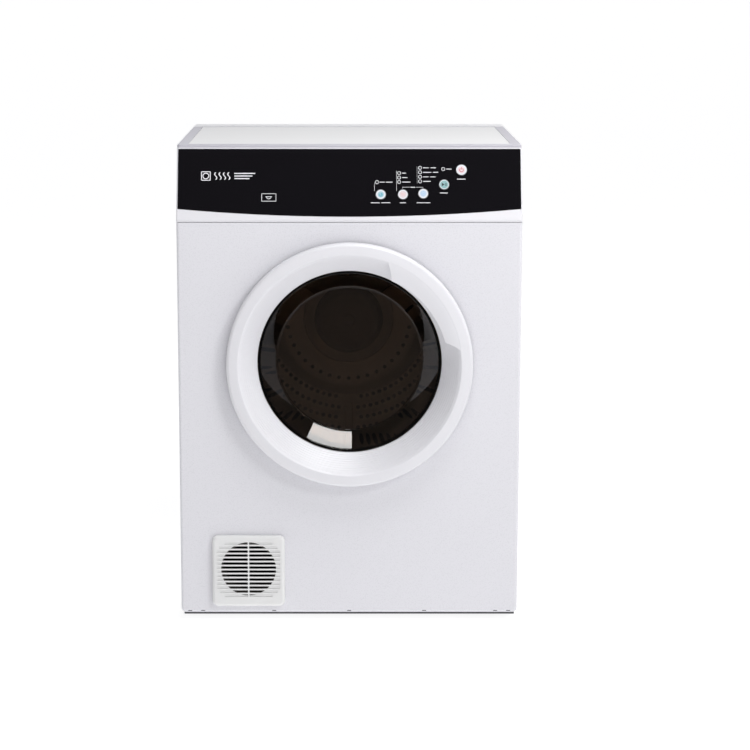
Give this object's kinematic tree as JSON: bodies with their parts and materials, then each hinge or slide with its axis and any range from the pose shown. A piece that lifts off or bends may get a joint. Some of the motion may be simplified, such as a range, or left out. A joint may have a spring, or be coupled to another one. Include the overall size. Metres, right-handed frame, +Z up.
{
  "type": "clothes dryer",
  "caption": "White front-loading vented clothes dryer with a round dark-glass door, a black sloping control panel and a square vent grille.",
  "frame": {"origin": "middle of the base, on the floor, halfway between the door's crease and the back", "axes": "+Z up, -Y out of the door, +X to the right seen from the front"},
  "size_m": [0.595, 0.565, 0.84],
  "materials": {
    "white_enamel": "smooth white enamel on steel",
    "worktop_white": "smooth off-white laminate",
    "white_plastic": "satin moulded white plastic",
    "pale_grey_plastic": "fine-grained pale grey plastic",
    "vent_plastic": "satin white plastic",
    "fascia_black": "deep black gloss",
    "lens_white": "translucent white",
    "button_silver": "silver-painted plastic",
    "smoked_glass": "dark brown tinted glass",
    "dark_frame": "black moulded plastic",
    "galvanised": "galvanised sheet",
    "base_grey": "ribbed grey polypropylene",
    "drum_steel": "polished stainless sheet",
    "lifter_grey": "grey plastic",
    "machined_steel": "turned steel",
    "fan_plastic": "black glass-filled plastic",
    "motor_paint": "grey varnished laminations",
    "capacitor_white": "white plastic can",
    "belt_rubber": "ribbed black rubber",
    "felt_brown": "low-friction felt and PTFE ring",
    "board_green": "lacquered circuit board",
    "heater_alloy": "finned aluminium",
    "thermostat_black": "phenolic body",
    "catch_nylon": "grey nylon",
    "foot_rubber": "hard black rubber"
  },
  "bodies": {
    "cabinet": {"base_pan": "base_grey", "left_side_panel": "white_enamel", "right_side_panel": "white_enamel", "back_panel": "galvanised", "front_panel": "white_enamel", "top_frame": "pale_grey_plastic", "top_panel": "worktop_white", "casing_screws": "machined_steel", "control_housing": "white_plastic", "control_fascia": "fascia_black", "indicator_lenses": "lens_white", "control_board": "board_green", "front_bulkhead": "galvanised", "drum_glide": "felt_brown", "rear_bulkhead": "galvanised", "rear_bearing": "machined_steel", "fan_housing": "base_grey", "exhaust_duct": "base_grey", "exhaust_collar": "base_grey", "heater_box": "galvanised", "heater_element": "heater_alloy", "thermostats": "thermostat_black", "motor_body": "motor_paint", "run_capacitor": "capacitor_white", "drum_belt": "belt_rubber", "fan_belt": "belt_rubber", "door_hinge_bracket": "galvanised", "door_catch": "catch_nylon", "door_switch": "dark_frame", "cable_gland": "dark_frame"},
    "drum": {"drum_shell": "drum_steel", "drum_rear_wall": "drum_steel", "drum_lifters": "lifter_grey", "drum_spindle": "machined_steel"},
    "lint_filter": {"filter_cover": "lifter_grey", "filter_screen": "dark_frame"},
    "fan": {"fan_wheel": "fan_plastic", "fan_pulley": "fan_plastic"},
    "motor_rotor": {"motor_shaft": "machined_steel", "motor_pulleys": "machined_steel"},
    "tension_arm": {"idler_arm": "galvanised", "idler_spring": "galvanised"},
    "tension_wheel": {"idler_wheel": "dark_frame"},
    "door": {"door_ring": "white_plastic", "door_handle": "white_plastic", "door_glass": "smoked_glass", "door_inner_frame": "dark_frame", "door_gasket": "pale_grey_plastic", "door_hinge_arm": "machined_steel", "door_striker": "machined_steel"},
    "grille": {"vent_grille": "vent_plastic"},
    "anti_crease_button_body": {"anti_crease_button": "button_silver"},
    "heat_button_body": {"heat_button": "button_silver"},
    "program_button_body": {"program_button": "button_silver"},
    "start_pause_button_body": {"start_pause_button": "button_silver"},
    "power_button_body": {"power_button": "button_silver"},
    "foot_front_left_body": {"foot_front_left": "foot_rubber"},
    "foot_rear_left_body": {"foot_rear_left": "foot_rubber"},
    "foot_front_right_body": {"foot_front_right": "foot_rubber"},
    "foot_rear_right_body": {"foot_rear_right": "foot_rubber"}
  },
  "joints": [
    {"name": "door_swing", "type": "hinge", "parent": "cabinet", "child": "door", "pos_m": [-0.208, -0.267, 0.4627], "axis": [0, 0, -1], "range_deg": [0, 115]},
    {"name": "drum_spin", "type": "hinge", "parent": "cabinet", "child": "drum", "pos_m": [0, 0, 0.473], "axis": [0, 1, 0], "continuous": true},
    {"name": "lint_filter_pull", "type": "slide", "parent": "drum", "child": "lint_filter", "axis": [0, 1, 0], "range_m": [-0.12, 0]},
    {"name": "fan_spin", "type": "hinge", "parent": "cabinet", "child": "fan", "pos_m": [0, 0.24, 0.473], "axis": [0, 1, 0], "continuous": true},
    {"name": "motor_spin", "type": "hinge", "parent": "cabinet", "child": "motor_rotor", "pos_m": [0.15, 0.13, 0.092], "axis": [0, 1, 0], "continuous": true},
    {"name": "belt_tension", "type": "hinge", "parent": "cabinet", "child": "tension_arm", "pos_m": [0.085, 0.0575, 0.045], "axis": [0, 1, 0], "range_deg": [0, 12], "stiffness_Nm_per_rad": 1, "springref_deg": -11.46},
    {"name": "tension_wheel_spin", "type": "hinge", "parent": "tension_arm", "child": "tension_wheel", "pos_m": [0.04, 0.0465, 0.095], "axis": [0, 1, 0], "continuous": true},
    {"name": "vent_grille_pull", "type": "slide", "parent": "cabinet", "child": "grille", "axis": [0, -1, 0], "range_m": [0, 0.15]},
    {"name": "anti_crease_button_press", "type": "slide", "parent": "cabinet", "child": "anti_crease_button_body", "axis": [0, 0.9397, -0.342], "range_m": [0, 0.0012], "stiffness_N_per_m": 400},
    {"name": "heat_button_press", "type": "slide", "parent": "cabinet", "child": "heat_button_body", "axis": [0, 0.9397, -0.342], "range_m": [0, 0.0012], "stiffness_N_per_m": 400},
    {"name": "program_button_press", "type": "slide", "parent": "cabinet", "child": "program_button_body", "axis": [0, 0.9397, -0.342], "range_m": [0, 0.0012], "stiffness_N_per_m": 400},
    {"name": "start_pause_button_press", "type": "slide", "parent": "cabinet", "child": "start_pause_button_body", "axis": [0, 0.9397, -0.342], "range_m": [0, 0.0012], "stiffness_N_per_m": 400},
    {"name": "power_button_press", "type": "slide", "parent": "cabinet", "child": "power_button_body", "axis": [0, 0.9397, -0.342], "range_m": [0, 0.0012], "stiffness_N_per_m": 400},
    {"name": "foot_front_left_screw", "type": "slide", "parent": "cabinet", "child": "foot_front_left_body", "axis": [0, 0, -1], "range_m": [0, 0.01]},
    {"name": "foot_rear_left_screw", "type": "slide", "parent": "cabinet", "child": "foot_rear_left_body", "axis": [0, 0, -1], "range_m": [0, 0.01]},
    {"name": "foot_front_right_screw", "type": "slide", "parent": "cabinet", "child": "foot_front_right_body", "axis": [0, 0, -1], "range_m": [0, 0.01]},
    {"name": "foot_rear_right_screw", "type": "slide", "parent": "cabinet", "child": "foot_rear_right_body", "axis": [0, 0, -1], "range_m": [0, 0.01]}
  ],
  "couplings": [
    {"joint": "motor_spin", "follows": "drum_spin", "ratio": 27},
    {"joint": "fan_spin", "follows": "drum_spin", "ratio": 54},
    {"joint": "tension_wheel_spin", "follows": "drum_spin", "ratio": 13.5}
  ]
}
